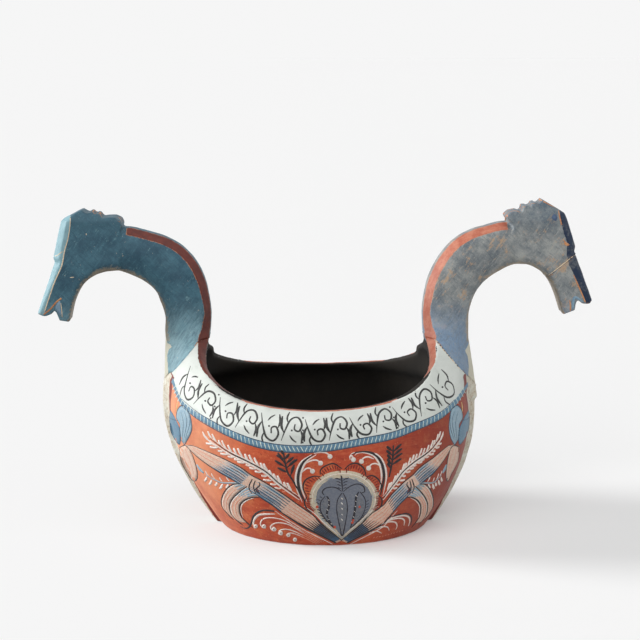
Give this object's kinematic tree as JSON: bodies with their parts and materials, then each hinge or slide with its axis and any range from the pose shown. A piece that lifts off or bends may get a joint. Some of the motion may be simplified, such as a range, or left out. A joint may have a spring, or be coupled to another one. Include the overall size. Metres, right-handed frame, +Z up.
{
  "type": "norwegian ale bowl",
  "caption": "Round carved wooden ale bowl on a flat foot, its saddle-shaped rim rising into two necks that end in outward-looking horse heads, painted with rose-painting ornament.",
  "frame": {"origin": "centre of the flat foot, on the surface the bowl stands on", "axes": "+Z up, +X along the length towards the right horse head, -Y towards the viewer of the picture"},
  "size_m": [0.4496, 0.247, 0.2653],
  "materials": {
    "red_painted_wood": "satin",
    "blue_painted_wood": "satin",
    "grey_blue_painted_wood": "satin",
    "dowel_wood": "matte"
  },
  "bodies": {
    "root": {"bowl_body": "red_painted_wood", "left_horse_handle": "blue_painted_wood", "right_horse_handle": "grey_blue_painted_wood", "right_muzzle": "grey_blue_painted_wood", "left_dowel_front": "dowel_wood", "left_dowel_rear": "dowel_wood", "right_dowel_front": "dowel_wood", "right_dowel_rear": "dowel_wood", "muzzle_dowel": "dowel_wood"}
  },
  "joints": []
}
